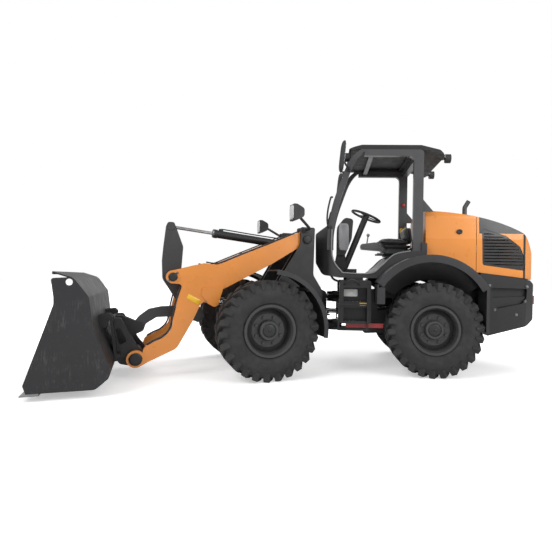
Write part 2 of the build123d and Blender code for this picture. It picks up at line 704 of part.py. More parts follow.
def lift_arms():
    x, z = arm_pivot
    side = outline([(-600, z, 50), (-575, 1505, 40), (-500, 1548, 60), (450, 1134, 60), (578, 1153, 80),
            (758, 1105, 80), (885, 1072, 60), (945, 1040, 30), (945, 972, 30), (885, 940, 30),
            (790, 935, 30), (822, 834, 60), (872, 608, 80), (890, 482, 60), (962, 407, 80), (1144, 317, 60),
            (1190, 122), (1103, 170, 80), (840, 291, 120), (695, 549, 120), (613, 734, 80), (402, 879, 60),
            (-121, 1157, 200), (-472, 1375, 60), (-590, 1380, 50)])
    low, high = arm_y - arm_thickness / 2, arm_y + arm_thickness / 2
    arm = plate(side, arm_y, arm_thickness)
    arm += cross_pin(coupler_pivot, coupler_boss_radius, low, high)
    arm += cross_pin(lever_pivot, lever_boss_radius, low - 20, high + 8)
    ear = outline([(378, 930), (440, 722, 25), (475, 700, 35), (535, 735, 30), (610, 830), (600, 900)])
    ear_y = lift_eye_half + eye_gap + lift_ear / 2
    for shift in (-ear_y, ear_y):
        arm += plate(ear, arm_y + shift, lift_ear)
        arm += cross_pin(lift_cylinder_head, 34, arm_y + shift - lift_ear / 2, arm_y + shift + lift_ear / 2)
    arm -= cross_pin(arm_pivot, arm_pin_radius + pin_clearance, 0, 600)
    arm -= cross_pin(coupler_pivot, coupler_pin_radius, 0, 600)
    arms = both_sides(arm)
    arms += cross_pin(cross_tube_place, cross_tube_radius, -low - 5, low + 5)
    return arms + cross_pin(lever_pivot, lever_pin_radius, -low - 5, low + 5)


def tilt_lever():
    side = outline([(943, 1554, 25), (968, 1329, 60), (980, 1179, 60), (972, 985, 80), (820, 740, 60),
            (655, 540, 30), (600, 512, 25), (530, 575, 25), (560, 660, 40), (700, 800, 60), (790, 985, 80),
            (767, 1330, 80), (840, 1530, 40), (865, 1590, 25), (925, 1590, 25)])
    plates = both_sides(plate(side, lever_y, lever_plate))
    hub = cross_pin(lever_pivot, lever_boss_radius, -lever_hub_half, lever_hub_half)
    web = plate(outline([(830, 1130), (930, 1130), (915, 1300), (815, 1300)]), 0, 2 * lever_y)
    lever = plates + hub + web
    for point in (lever_top, lever_foot):
        lever += both_sides(cross_pin(point, 40, lever_y, lever_y + lever_plate / 2 + 8))
    return lever - cross_pin(lever_pivot, lever_pin_radius + pin_clearance, -200, 200)


def tilt_link():
    side = outline([(530, 600, 25), (590, 665, 30), (810, 695, 80), (978, 690, 80), (1105, 664, 60),
            (1200, 590, 60), (1262, 510, 30), (1262, 440, 30), (1207, 412, 30), (1152, 440, 20),
            (1130, 507, 40), (1027, 575, 60), (862, 580, 60), (660, 530, 40), (570, 528, 25)])
    return plate(side, 0, 2 * link_half) - cross_pin(link_end, small_pin_radius + pin_clearance, -100, 100)


def coupler():
    side = outline([(1450, 600, 10), (1360, 600, 30), (1210, 330, 60), (1136, 230, 40), (1150, 140, 50),
            (1219, 118, 50), (1360, 150, 40), (1400, 200)])
    hole = outline([(1370, 520, 20), (1300, 370, 20), (1370, 330, 20), (1405, 480, 20)])
    side_y = coupler_side_y
    frame = both_sides(plate(side - hole, side_y, coupler_plate))
    lug = outline([(1450, 600, 10), (1360, 600, 40), (1230, 540, 40), (1150, 510, 30), (1150, 440, 30),
            (1215, 410, 30), (1360, 300, 40), (1412, 300)])
    lug_y = link_half + eye_gap + coupler_lug / 2
    frame += both_sides(plate(lug, lug_y, coupler_lug))
    frame += cross_pin(link_end, small_pin_radius, -lug_y - coupler_lug / 2, lug_y + coupler_lug / 2)
    inner = side_y - coupler_plate / 2
    frame += cross_pin(coupler_pivot, coupler_tube_radius, -inner - 2, inner + 2)
    mast = plate(outline([(1450, 600), (1400, 200), (1375, 200), (1425, 600)]), 0, 2 * coupler_half_width)
    for y in (175, -175):
        mast -= block((1300, 1500), (y - 80, y + 80), (330, 520))
    pin = cross_pin(coupler_pivot, coupler_pin_radius - pin_clearance, inner, arm_y + arm_thickness / 2 + 4)
    lock = cross_pin((1372, 250), 20, side_y, coupler_half_width)
    return frame + mast + both_sides(pin + lock)


def bucket():
    back = [(1698, 993, 30), (1672, 973, 30), (1570, 832, 40), (1564, 791, 60), (1536, 577, 400),
            (1456, 376, 300), (1410, 258, 60), (1401, 190, 30), (1416, 150, 30), (1513, bucket_floor_z, 60)]
    side = outline([(1845, 983, 20)] + back + [(2005, bucket_floor_z), (2027, 133, 20), (1823, 772, 60),
            (1824, 830, 60)])
    side_y = bucket_half_width - bucket_side_plate / 2
    side -= Pos(*lifting_hole) * Circle(lifting_hole_radius)
    plates = both_sides(plate(side, side_y, bucket_side_plate))
    whole = outline(back + [(2005, bucket_floor_z), (1835, 1038)])
    room = offset(whole, -bucket_sheet)
    sheet = whole - room - Pos(bucket_sheet + 18, 0) * room
    shell = plate(sheet, 0, 2 * side_y)
    hook = outline([(1550, 640, 20), (1550, 520), (1480, 520), (1452, 600), (1420, 600), (1420, 622, 20),
            (1450, 650, 20)])
    for y in (coupler_half_width - 15, coupler_half_width - 130):
        shell += both_sides(plate(hook, y, 20))
    return shell + plates


def cutting_edge():
    top = bucket_floor_z
    form = outline([(1915, top), (1915, top - edge_thickness), (2046, top - edge_thickness),
            (2052, top - 14), (2012, top)])
    return plate(form, 0, 2 * bucket_half_width)


# Cylinders

def cylinder_pair(foot, head, y, barrel_radius, rod_radius, barrel_end, rod_start, eye_half, foot_pin):
    direction = atan2(head[1] - foot[1], head[0] - foot[0])

    def along(distance):
        return (foot[0] + cos(direction) * distance, y, foot[1] + sin(direction) * distance)

    span = hypot(head[0] - foot[0], head[1] - foot[1])
    eye = cross_pin(foot, 48, y - eye_half, y + eye_half) + bar_between(along(20), along(65), eye_half)
    barrel = eye + bar_between(along(60), along(barrel_end), barrel_radius)
    barrel += bar_between(along(barrel_end - 45), along(barrel_end - 8), barrel_radius + 5)
    barrel -= cross_pin(foot, foot_pin + pin_clearance, y - 90, y + 90)
    barrel -= bar_between(along(78), along(barrel_end + 10), rod_radius + seat_gap)
    rod = bar_between(along(rod_start), along(span - 20), rod_radius)
    rod += cross_pin(head, 42, y - eye_half, y + eye_half)
    return barrel, rod


def steering_cylinder(side):
    turn = radians(articulation_angle)
    head = (pin_ahead + steer_head[0] * cos(turn) - side * steer_head[1] * sin(turn),
            steer_head[0] * sin(turn) + side * steer_head[1] * cos(turn))
    foot = (pin_ahead + steer_foot[0], side * steer_foot[1])
    span = hypot(head[0] - foot[0], head[1] - foot[1])
    step_x, step_y = (head[0] - foot[0]) / span, (head[1] - foot[1]) / span

    def along(distance):
        return (foot[0] + step_x * distance, foot[1] + step_y * distance, steer_level)

    barrel = Pos(*along(0)) * Cylinder(34, 2 * steer_eye_half) + bar_between(along(20), along(70),
            steer_eye_half)
    barrel += bar_between(along(66), along(steer_barrel_length), 30)
    barrel -= Pos(*along(0)) * Cylinder(steer_pin_radius + pin_clearance, 100)
    barrel -= bar_between(along(74), along(steer_barrel_length + 10), 16 + seat_gap)
    rod = bar_between(along(span - steer_rod_length), along(span - 15), 16)
    rod += Pos(*along(span)) * Cylinder(30, 2 * steer_eye_half)
    return barrel, rod


def build_nodes():
    rear = { "rear_chassis": rear_chassis(), "rear_axle": axle(1) + axle_pads(rear_frame_y),
            "counterweight": counterweight(), "engine_block": engine_block(),
            "hood_front_panel": hood_front_panel(), "engine_hood": engine_hood(),
            "exhaust_pipe": exhaust_pipe(), "rear_fenders": rear_fenders(), "cab_tub": cab_tub(),
            "rops_frame": rops_frame(), "roof": roof(), "seat": seat(), "steering_wheel": steering_wheel(),
            "steering_column": steering_column(), "side_console": side_console(),
            "step_boxes": step_boxes(), "mirrors": mirrors(), "work_lamps": work_lamps(),
            "lock_bar": lock_bar(), "rear_lights": rear_lights(), }
    for name, side in (("left", 1), ("right", -1)):
        barrel, rod = steering_cylinder(side)
        rear[f"steering_barrel_{name}"] = barrel
        rear[f"steering_rod_{name}"] = rod
    front = {
        "front_chassis": front_chassis(), "front_axle": axle(-1) + axle_pads(tower_inner_y),
        "front_fenders": front_fenders(), "headlights": headlights(), "lift_arms": lift_arms(),
        "tilt_lever": tilt_lever(), "tilt_link": tilt_link(), "coupler": coupler(), "bucket": bucket(),
        "cutting_edge": cutting_edge(),
    }
    front["tilt_barrel"], front["tilt_rod"] = cylinder_pair(
        tilt_cylinder_foot, lever_top, 0, 44, 18, 883, 600, tilt_eye_half, small_pin_radius)
    barrel, rod = cylinder_pair(
        lift_cylinder_foot, lift_cylinder_head, arm_y, 38, 22, 1046, 110, lift_eye_half, arm_pin_radius)
    front["lift_barrels"], front["lift_rods"] = both_sides(barrel), both_sides(rod)
    one_tyre, one_rim = tyre(), rim()
    for side, turn, y in (("left", 0, wheel_y), ("right", 180, -wheel_y)):
        place = Pos(0, y, axle_height) * Rot(0, 0, turn)
        for nodes, end in ((front, "front"), (rear, "rear")):
            nodes[f"tyre_{end}_{side}"] = place * one_tyre
            nodes[f"rim_{end}_{side}"] = place * one_rim
    placed = {name: rear_place * shape for name, shape in rear.items()}
    placed.update({name: front_place * shape for name, shape in front.items()})
    return placed


if __name__ == "__main__":
    write_out(build_nodes())
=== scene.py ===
import json
import math
import bpy
import numpy as np
from mathutils import Matrix, Vector


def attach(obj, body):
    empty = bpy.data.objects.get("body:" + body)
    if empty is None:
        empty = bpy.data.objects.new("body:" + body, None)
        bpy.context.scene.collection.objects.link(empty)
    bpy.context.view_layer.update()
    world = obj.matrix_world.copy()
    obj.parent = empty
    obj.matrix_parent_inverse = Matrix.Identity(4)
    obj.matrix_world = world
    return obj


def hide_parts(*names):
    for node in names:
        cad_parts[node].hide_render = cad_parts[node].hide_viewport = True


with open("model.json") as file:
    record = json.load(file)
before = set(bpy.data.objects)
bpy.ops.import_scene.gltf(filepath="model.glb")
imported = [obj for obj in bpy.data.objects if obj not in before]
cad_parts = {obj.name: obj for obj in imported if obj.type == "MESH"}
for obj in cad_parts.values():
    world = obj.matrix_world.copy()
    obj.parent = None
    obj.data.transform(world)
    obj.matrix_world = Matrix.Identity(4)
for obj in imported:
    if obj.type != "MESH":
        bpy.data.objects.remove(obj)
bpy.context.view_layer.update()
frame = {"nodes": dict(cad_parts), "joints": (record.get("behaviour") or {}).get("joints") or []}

# The articulation pin's foot; the machine's own measures start there, in millimetres
joint_place = {joint["name"]: joint.get("pos_m") for joint in frame["joints"]}
pin_foot = np.array(joint_place["articulation"])
parked_turn = math.radians(23.0)

# Picture that the camera matches, in pixels
picture_size = 552
focal_pixels = 436.46
principal_point = (312.686, 278.098)
camera_from_pin = Vector((0.069, 5.394, 1.017))
camera_yaw = math.radians(2.163)
camera_roll = math.radians(0.957)

# Paint and material colours, as linear values
orange = (0.74, 0.255, 0.035)
anthracite = (0.011, 0.011, 0.0122)
bucket_grey = (0.014, 0.014, 0.016)
rubber = (0.026, 0.026, 0.027)
plastic = (0.022, 0.022, 0.024)
trim_grey = (0.25, 0.25, 0.26)
signal_red = (0.36, 0.012, 0.014)
plate_yellow = (0.86, 0.50, 0.012)
worn_steel = (0.42, 0.42, 0.43)
chrome = (0.62, 0.63, 0.65)


def camera():
    """Looks level at the machine's left side, turned by the yaw and then rolled."""
    forward = Vector((math.sin(camera_yaw), -math.cos(camera_yaw), 0))
    level_right = forward.cross(Vector((0, 0, 1)))
    up = level_right.cross(forward)
    right = math.cos(camera_roll) * level_right + math.sin(camera_roll) * up
    top = -math.sin(camera_roll) * level_right + math.cos(camera_roll) * up
    lens = bpy.data.cameras.new("camera")
    lens.sensor_width = 36.0
    lens.lens = lens.sensor_width * focal_pixels / picture_size
    lens.shift_x = (picture_size / 2 - principal_point[0]) / picture_size
    lens.shift_y = (principal_point[1] - picture_size / 2) / picture_size
    eye = bpy.data.objects.new("camera", lens)
    turn = Matrix((right, top, -forward)).transposed().to_4x4()
    eye.matrix_world = Matrix.Translation(camera_from_pin + Vector(pin_foot)) @ turn
    bpy.context.scene.collection.objects.link(eye)
    bpy.context.scene.camera = eye


def area_lamp(name, place, aim, size, power):
    lamp = bpy.data.lights.new(name, "AREA")
    lamp.shape = "DISK"
    lamp.size = size
    lamp.energy = power
    holder = bpy.data.objects.new(name, lamp)
    holder.location = place
    holder.rotation_euler = (Vector(aim) - Vector(place)).to_track_quat("-Z", "Y").to_euler()
    bpy.context.scene.collection.objects.link(holder)


def studio():
    """Plain white room: a pale floor, an even white sky and three wide lamps."""
    world = bpy.data.worlds.new("white room")
    bpy.context.scene.world = world
    world.use_nodes = True
    nodes, links = world.node_tree.nodes, world.node_tree.links
    background = nodes["Background"]
    path = nodes.new("ShaderNodeLightPath")
    seen = nodes.new("ShaderNodeMath")
    seen.operation = "MAXIMUM"
    links.new(path.outputs["Is Camera Ray"], seen.inputs[0])
    links.new(path.outputs["Is Transmission Ray"], seen.inputs[1])
    level = nodes.new("ShaderNodeMapRange")
    level.inputs["To Min"].default_value = 0.62
    level.inputs["To Max"].default_value = 1.0
    links.new(seen.outputs[0], level.inputs["Value"])
    links.new(level.outputs["Result"], background.inputs["Strength"])
    background.inputs["Color"].default_value = (1, 1, 1, 1)
    half = 40.0
    mesh = bpy.data.meshes.new("floor")
    corners = [(x * half, y * half, -0.001) for x, y in ((-1, -1), (1, -1), (1, 1), (-1, 1))]
    mesh.from_pydata(corners, [], [(0, 1, 2, 3)])
    floor = bpy.data.objects.new("floor", mesh)
    bpy.context.scene.collection.objects.link(floor)
    floor.data.materials.append(floor_finish())
    area_lamp("key", (5.0, 7.0, 7.5), (0.3, 0.3, 1.0), 5.0, 420)
    area_lamp("fill", (-6.0, 5.0, 4.5), (-0.3, 0.0, 1.0), 5.0, 260)
    area_lamp("rim", (-1.0, -7.0, 6.0), (0.0, 0.0, 1.2), 5.0, 260)
    bpy.context.scene.view_settings.view_transform = "Standard"


def floor_finish():
    """Pale matt floor; to the camera it glows, more with distance, until it meets the white sky."""
    material = bpy.data.materials.new("studio floor")
    material.use_nodes = True
    nodes, links = material.node_tree.nodes, material.node_tree.links
    shader = nodes["Principled BSDF"]
    shader.inputs["Base Color"].default_value = (0.86, 0.86, 0.86, 1)
    shader.inputs["Roughness"].default_value = 0.9
    shader.inputs["Specular IOR Level"].default_value = 0.1
    path = nodes.new("ShaderNodeLightPath")
    place = nodes.new("ShaderNodeTexCoord")
    reach = nodes.new("ShaderNodeVectorMath")
    reach.operation = "LENGTH"
    links.new(place.outputs["Object"], reach.inputs[0])
    far = nodes.new("ShaderNodeMapRange")
    for key, number in (("From Min", 2.6), ("From Max", 5.5), ("To Min", 0.42), ("To Max", 1.0)):
        far.inputs[key].default_value = number
    links.new(reach.outputs["Value"], far.inputs["Value"])
    glow = nodes.new("ShaderNodeMath")
    glow.operation = "MULTIPLY"
    links.new(path.outputs["Is Camera Ray"], glow.inputs[0])
    links.new(far.outputs["Result"], glow.inputs[1])
    shader.inputs["Emission Color"].default_value = (1, 1, 1, 1)
    links.new(glow.outputs[0], shader.inputs["Emission Strength"])
    return material


# Finishes

class Finish:
    """A material under construction: short calls add texture, ramp, mix and bump nodes."""

    def __init__(self, name, roughness=0.5, metallic=0.0, coat=0.0, specular=0.5):
        self.material = bpy.data.materials.new(name)
        self.material.use_nodes = True
        self.nodes = self.material.node_tree.nodes
        self.links = self.material.node_tree.links
        self.shader = self.nodes["Principled BSDF"]
        self.shader.inputs["Roughness"].default_value = roughness
        self.shader.inputs["Metallic"].default_value = metallic
        self.shader.inputs["Coat Weight"].default_value = coat
        self.shader.inputs["Coat Roughness"].default_value = 0.12
        self.shader.inputs["Specular IOR Level"].default_value = specular
        self.place = self.nodes.new("ShaderNodeTexCoord").outputs["Object"]

    def noise(self, scale, detail=3.0, roughness=0.5, stretch=None):
        node = self.nodes.new("ShaderNodeTexNoise")
        node.inputs["Scale"].default_value = scale
        node.inputs["Detail"].default_value = detail
        node.inputs["Roughness"].default_value = roughness
        source = self.place
        if stretch:
            mapping = self.nodes.new("ShaderNodeMapping")
            mapping.inputs["Scale"].default_value = stretch
            self.links.new(source, mapping.inputs["Vector"])
            source = mapping.outputs["Vector"]
        self.links.new(source, node.inputs["Vector"])
        return node.outputs["Fac"]

    def cells(self, scale):
        node = self.nodes.new("ShaderNodeTexVoronoi")
        node.inputs["Scale"].default_value = scale
        self.links.new(self.place, node.inputs["Vector"])
        return node.outputs["Distance"]

    def across(self, centre, turn=0.0):
        """Distance from a level axle through the centre, and the place along it."""
        mapping = self.nodes.new("ShaderNodeMapping")
        mapping.vector_type = "TEXTURE"
        mapping.inputs["Location"].default_value = tuple(centre)
        mapping.inputs["Rotation"].default_value = (0, 0, turn)
        self.links.new(self.place, mapping.inputs["Vector"])
        parts = self.nodes.new("ShaderNodeSeparateXYZ")
        self.links.new(mapping.outputs["Vector"], parts.inputs[0])
        flat = self.nodes.new("ShaderNodeCombineXYZ")
        self.links.new(parts.outputs["X"], flat.inputs["X"])
        self.links.new(parts.outputs["Z"], flat.inputs["Z"])
        reach = self.nodes.new("ShaderNodeVectorMath")
        reach.operation = "LENGTH"
        self.links.new(flat.outputs[0], reach.inputs[0])
        return reach.outputs["Value"], parts.outputs["Y"]

    def axis(self, name):
        parts = self.nodes.new("ShaderNodeSeparateXYZ")
        self.links.new(self.place, parts.inputs[0])
        return parts.outputs[name]

    def reckon(self, operation, first, second=None):
        """A math node's result; each input is a socket or a number."""
        node = self.nodes.new("ShaderNodeMath")
        node.operation = operation
        for socket, value in zip(node.inputs, (first, second)):
            if isinstance(value, float):
                socket.default_value = value
            elif value is not None:
                self.links.new(value, socket)
        return node.outputs[0]

    def wave(self, value, scale):
        return self.reckon("SINE", self.reckon("MULTIPLY", value, scale))

    def within(self, value, low, high):
        """1 where the value lies between low and high, else 0."""
        return self.product(self.reckon("GREATER_THAN", value, low), self.reckon("LESS_THAN", value, high))

    def size_of(self, value):
        return self.reckon("ABSOLUTE", value)

    def less(self, value, number):
        return self.reckon("SUBTRACT", value, number)

    def product(self, first, second):
        return self.reckon("MULTIPLY", first, second)

    def sum(self, first, second):
        return self.reckon("ADD", first, second)

    def span(self, value, low, high, to_low=0.0, to_high=1.0):
        node = self.nodes.new("ShaderNodeMapRange")
        for key, number in (("From Min", low), ("From Max", high), ("To Min", to_low), ("To Max", to_high)):
            node.inputs[key].default_value = number
        self.links.new(value, node.inputs["Value"])
        return node.outputs["Result"]

    def blend(self, factor, first, second):
        node = self.nodes.new("ShaderNodeMix")
        node.data_type = "RGBA"
        self.links.new(factor, node.inputs["Factor"])
        for socket, colour in ((node.inputs[6], first), (node.inputs[7], second)):
            if isinstance(colour, tuple):
                socket.default_value = (*colour, 1)
            else:
                self.links.new(colour, socket)
        return node.outputs[2]

    def colour(self, socket):
        self.links.new(socket, self.shader.inputs["Base Color"])

    def roughness(self, socket):
        self.links.new(socket, self.shader.inputs["Roughness"])

    def bump(self, height, strength, depth):
        node = self.nodes.new("ShaderNodeBump")
        node.inputs["Strength"].default_value = strength
        node.inputs["Distance"].default_value = depth
        self.links.new(height, node.inputs["Height"])
        self.links.new(node.outputs["Normal"], self.shader.inputs["Normal"])


def tinted(colour, factor):
    return tuple(channel * factor for channel in colour)


def paint(name, colour, roughness=0.34, coat=0.35, dust=0.12, wear=0.0):
    """Sprayed paint: a soft drift of shade, orange-peel bump, scattered dust specks, and small scuffs."""
    made = Finish(name, roughness, coat=coat)
    drift = made.span(made.noise(1.6, 2.0), 0.35, 0.65)
    shade = made.blend(drift, tinted(colour, 0.92), tinted(colour, 1.06))
    speck = made.span(made.noise(38, 6.0, 0.7), 0.60, 0.72, 0.0, dust)
    shade = made.blend(speck, shade, (0.30, 0.28, 0.25))
    if wear:
        scuff = made.product(made.span(made.noise(7, 5.0, 0.65), 0.50, 0.62),
                             made.span(made.noise(90, 4.0, 0.6, (1, 1, 0.12)), 0.50, 0.66, 0.0, wear))
        shade = made.blend(scuff, shade, (0.34, 0.34, 0.35))
    made.colour(shade)
    made.roughness(made.span(made.noise(9, 4.0), 0.3, 0.7, roughness - 0.05, roughness + 0.10))
    made.bump(made.noise(420, 2.0), 0.10, 0.0006)
    return made.material


def moulded(name, colour, roughness=0.55):
    """Moulded plastic: a fine leather grain and faint flow marks."""
    made = Finish(name, roughness)
    drift = made.span(made.noise(2.2, 3.0), 0.3, 0.7)
    made.colour(made.blend(drift, tinted(colour, 0.85), tinted(colour, 1.2)))
    made.roughness(made.span(made.noise(14, 3.0), 0.3, 0.7, roughness - 0.06, roughness + 0.08))
    made.bump(made.cells(520), 0.25, 0.0008)
    return made.material


def tyre_rubber(name, centre, turn):
    """Rubber: fine pebble, moulded rings on the sidewall, dust that greys it, dull roughness."""
    made = Finish(name, 0.75, specular=0.35)
    reach, _ = made.across(centre, turn)
    dust = made.span(made.noise(5.5, 5.0, 0.62), 0.42, 0.70, 0.0, 0.30)
    worn = made.span(reach, 0.40, 0.495, 0.0, 0.45)
    shade = made.blend(dust, rubber, (0.070, 0.067, 0.063))
    made.colour(made.blend(worn, shade, (0.036, 0.035, 0.034)))
    made.roughness(made.span(made.noise(18, 3.0), 0.3, 0.7, 0.62, 0.86))
    rings = made.product(made.wave(reach, 620.0), made.within(reach, 0.272, 0.352))
    made.bump(made.sum(made.sum(made.noise(160, 4.0), made.cells(640)), rings), 0.40, 0.0016)
    return made.material


def bare_metal(name, colour, roughness, brushing=(1, 1, 1)):
    """Metal with a drawn grain along one way and a cloudy roughness."""
    made = Finish(name, roughness, metallic=1.0)
    cloud = made.span(made.noise(6, 4.0), 0.35, 0.7)
    made.colour(made.blend(cloud, tinted(colour, 0.5), colour))
    made.roughness(made.span(made.noise(220, 2.0, 0.5, brushing), 0.3, 0.7,
                             roughness - 0.08, roughness + 0.14))
    made.bump(made.noise(300, 2.0, 0.5, brushing), 0.12, 0.0004)
    return made.material


def hood_finish():
    """Orange paint; the louvred screens set behind the side windows are black."""
    made = Finish("hood paint", 0.30, coat=0.5)
    drift = made.span(made.noise(1.6, 2.0), 0.35, 0.65)
    skin = made.blend(drift, tinted(orange, 0.93), tinted(orange, 1.05))
    from_middle = made.size_of(made.less(made.axis("Y"), float(pin_foot[1])))
    screen = made.product(made.within(from_middle, 0.4560, 0.4743),
                          made.within(made.less(made.axis("X"), float(pin_foot[0])), -2.105, -1.59))
    made.colour(made.blend(screen, skin, (0.012, 0.012, 0.013)))
    made.roughness(made.span(made.noise(9, 4.0), 0.3, 0.7, 0.26, 0.42))
    made.bump(made.noise(420, 2.0), 0.08, 0.0005)
    return made.material


def clear_lens(name, colour):
    """Moulded lens: ribbed bump, a little transmission and a bright coat."""
    made = Finish(name, 0.12, coat=1.0)
    made.colour(made.blend(made.span(made.noise(12, 2.0), 0.3, 0.7), tinted(colour, 0.85), colour))
    made.bump(made.wave(made.axis("Z"), 320.0), 0.35, 0.002)
    made.shader.inputs["Transmission Weight"].default_value = 0.25
    return made.material


def mirror_glass():
    made = Finish("mirror glass", 0.05, metallic=1.0)
    made.colour(made.blend(made.span(made.noise(3.0, 2.0), 0.3, 0.7),
                           (0.50, 0.52, 0.55), (0.62, 0.64, 0.67)))
    made.roughness(made.span(made.noise(40, 3.0), 0.3, 0.7, 0.03, 0.10))
    return made.material


def hose_rubber():
    """Hose: black rubber with a fine wrapped-cloth bump."""
    made = Finish("hose rubber", 0.55)
    made.colour(made.blend(made.span(made.noise(24, 3.0), 0.3, 0.7),
                           (0.012, 0.012, 0.012), (0.035, 0.034, 0.033)))
    made.bump(made.noise(700, 2.0, 0.5, (1, 1, 3)), 0.25, 0.0008)
    return made.material


def seat_cover():
    """Vinyl: pebbled grain, a soft sheen and slightly paler worn patches."""
    made = Finish("seat vinyl", 0.5)
    made.shader.inputs["Sheen Weight"].default_value = 0.15
    worn = made.span(made.noise(7, 4.0), 0.45, 0.72)
    made.colour(made.blend(worn, (0.020, 0.020, 0.021), (0.042, 0.041, 0.040)))
    made.roughness(made.span(made.noise(30, 3.0), 0.3, 0.7, 0.42, 0.6))
    made.bump(made.cells(750), 0.4, 0.0009)
    return made.material


def dress(names, material):
    """Gives the solids of these names the material."""
    for name in names:
        slots = frame["nodes"][name].data.materials
        slots.clear()
        slots.append(material)


# Shapes

def at(points):
    """Measures from the pin along the rear frame, in millimetres, as places in metres."""
    return np.atleast_2d(np.asarray(points, float)) / 1000 + pin_foot


def ahead(points):
    """Measures from the pin along the front frame, turned with it to its parked place."""
    points = np.atleast_2d(np.asarray(points, float)) / 1000
    turned = np.stack([points[:, 0] * math.cos(parked_turn) - points[:, 1] * math.sin(parked_turn),
                       points[:, 0] * math.sin(parked_turn) + points[:, 1] * math.cos(parked_turn),
                       points[:, 2]], 1)
    return turned + pin_foot


def full_turn(columns):
    """Evenly spaced angles round a circle."""
    return np.linspace(0, 2 * math.pi, columns, endpoint=False)


def signed_power(value, exponent):
    """The value's size to the exponent, with the value's own sign."""
    return np.sign(value) * np.abs(value) ** exponent


def grid_faces(rows, columns):
    """Quads between neighbouring rows of a grid whose columns close on themselves."""
    row, column = np.meshgrid(np.arange(rows - 1), np.arange(columns), indexing="ij")
    first = row * columns + column
    after = row * columns + (column + 1) % columns
    return np.stack([first, after, after + columns, first + columns], -1).reshape(-1, 4)


def closed_surface(rings):
    """Rings of points joined into a skin; a fan from its middle closes each end ring."""
    rows, columns, _ = rings.shape
    points = np.concatenate([rings.reshape(-1, 3), rings[:1].mean(1), rings[-1:].mean(1)])
    ring = np.arange(columns)
    following = (ring + 1) % columns
    low = np.stack([following, ring, np.full(columns, rows * columns)], 1)
    high = np.stack([ring, following, np.full(columns, rows * columns + 1)], 1) + np.array(
        [(rows - 1) * columns, (rows - 1) * columns, 0])
    return points, grid_faces(rows, columns).tolist() + low.tolist() + high.tolist()


def skin(x, y, z, turned_over=False):
    """A closed surface on the rear frame from rings of x, y and z."""
    x, y, z = np.broadcast_arrays(x, y, z)
    rings = at(np.stack([x, y, z], -1).reshape(-1, 3)).reshape(*x.shape, 3)
    return closed_surface(rings[:, ::-1] if turned_over else rings)


def tube(route, radius, place=at, steps=10):
    """A circle carried along a smooth curve through the route's points.

    The curve between two points is the cubic that leaves each along the line between its
    neighbours. At each station the circle stands square to the curve: centre + radius * (cos * side
    + sin * lift).
    """
    knots = place(route)
    padded = np.concatenate([2 * knots[:1] - knots[1:2], knots, 2 * knots[-1:] - knots[-2:-1]])
    t = np.linspace(0, 1, steps, endpoint=False)[None, :, None]
    a, b, c, d = (padded[i:len(padded) - 3 + i, None, :] for i in range(4))
    curve = 0.5 * (2 * b + (c - a) * t + (2 * a - 5 * b + 4 * c - d) * t ** 2
                   + (3 * b - a - 3 * c + d) * t ** 3)
    curve = np.concatenate([curve.reshape(-1, 3), knots[-1:]])
    heading = np.gradient(curve, axis=0)
    heading /= np.linalg.norm(heading, axis=1, keepdims=True)
    span = curve[-1] - curve[0]
    guide = np.eye(3)[np.argmin(np.abs(span))]
    side = np.cross(guide, heading)
    side /= np.linalg.norm(side, axis=1, keepdims=True)
    lift = np.cross(heading, side)
    turn = full_turn(14)[None, :, None]
    rings = curve[:, None] + radius / 1000 * (np.cos(turn) * side[:, None] + np.sin(turn) * lift[:, None])
    return closed_surface(rings)


def boss(centre, outward, across, half, rows, power=2.0, columns=40, place=at):
    """A turned or squared button.

    Each row (inset, height) gives one ring: |u / a|^power + |v / b|^power = 1, with a and b the half
    sizes less the inset, lifted by the height along outward.
    """
    frame_points = place([(0, 0, 0), outward, across])
    normal, u_way = frame_points[1] - frame_points[0], frame_points[2] - frame_points[0]
    normal /= np.linalg.norm(normal)
    u_way /= np.linalg.norm(u_way)
    v_way = np.cross(normal, u_way)
    cosine = signed_power(np.cos(full_turn(columns)), 2 / power)
    sine = signed_power(np.sin(full_turn(columns)), 2 / power)
    inset, height = np.array(rows, float).T / 1000
    u = (half[0] / 1000 - inset)[:, None] * cosine
    v = (half[1] / 1000 - inset)[:, None] * sine
    flat = place([centre])[0] + u[..., None] * u_way + v[..., None] * v_way
    return closed_surface(flat + height[:, None, None] * normal)


def joined(shapes):
    """Several shapes as one list of points and one of faces."""
    points, faces, start = [], [], 0
    for some_points, some_faces in shapes:
        points.append(some_points)
        faces += [[index + start for index in face] for face in some_faces]
        start += len(some_points)
    return np.concatenate(points), faces


def piece(name, shape, body, material, smooth=True):
    """Makes a mesh of the shape that rides the body and sits in the slot."""
    points, faces = shape
    mesh = bpy.data.meshes.new(name)
    mesh.from_pydata(points.tolist(), [], faces)
    mesh.polygons.foreach_set("use_smooth", np.full(len(mesh.polygons), smooth))
    mesh.materials.append(material)
    made = bpy.data.objects.new(name, mesh)
    bpy.context.scene.collection.objects.link(made)
    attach(made, body)
    return made


def plate_rows(thickness, edge=1.5):
    """Rows for a boss that is a flat plate with its rims broken."""
    return [(edge, 0), (0, edge), (0, thickness - edge), (edge, thickness)]


def hex_head(centre, outward, across, radius, height, place=at):
    """A bolt head of six sides on its washer."""
    rim = radius * 1.35
    washer = boss(centre, outward, across, (rim, rim), plate_rows(2.4, 0.6), columns=24, place=place)
    head = boss(centre, outward, across, (radius, radius), [(0, 2), (0, height - 1.5), (1.6, height)],
                columns=6, place=place)
    return joined([washer, head])


camera()
studio()

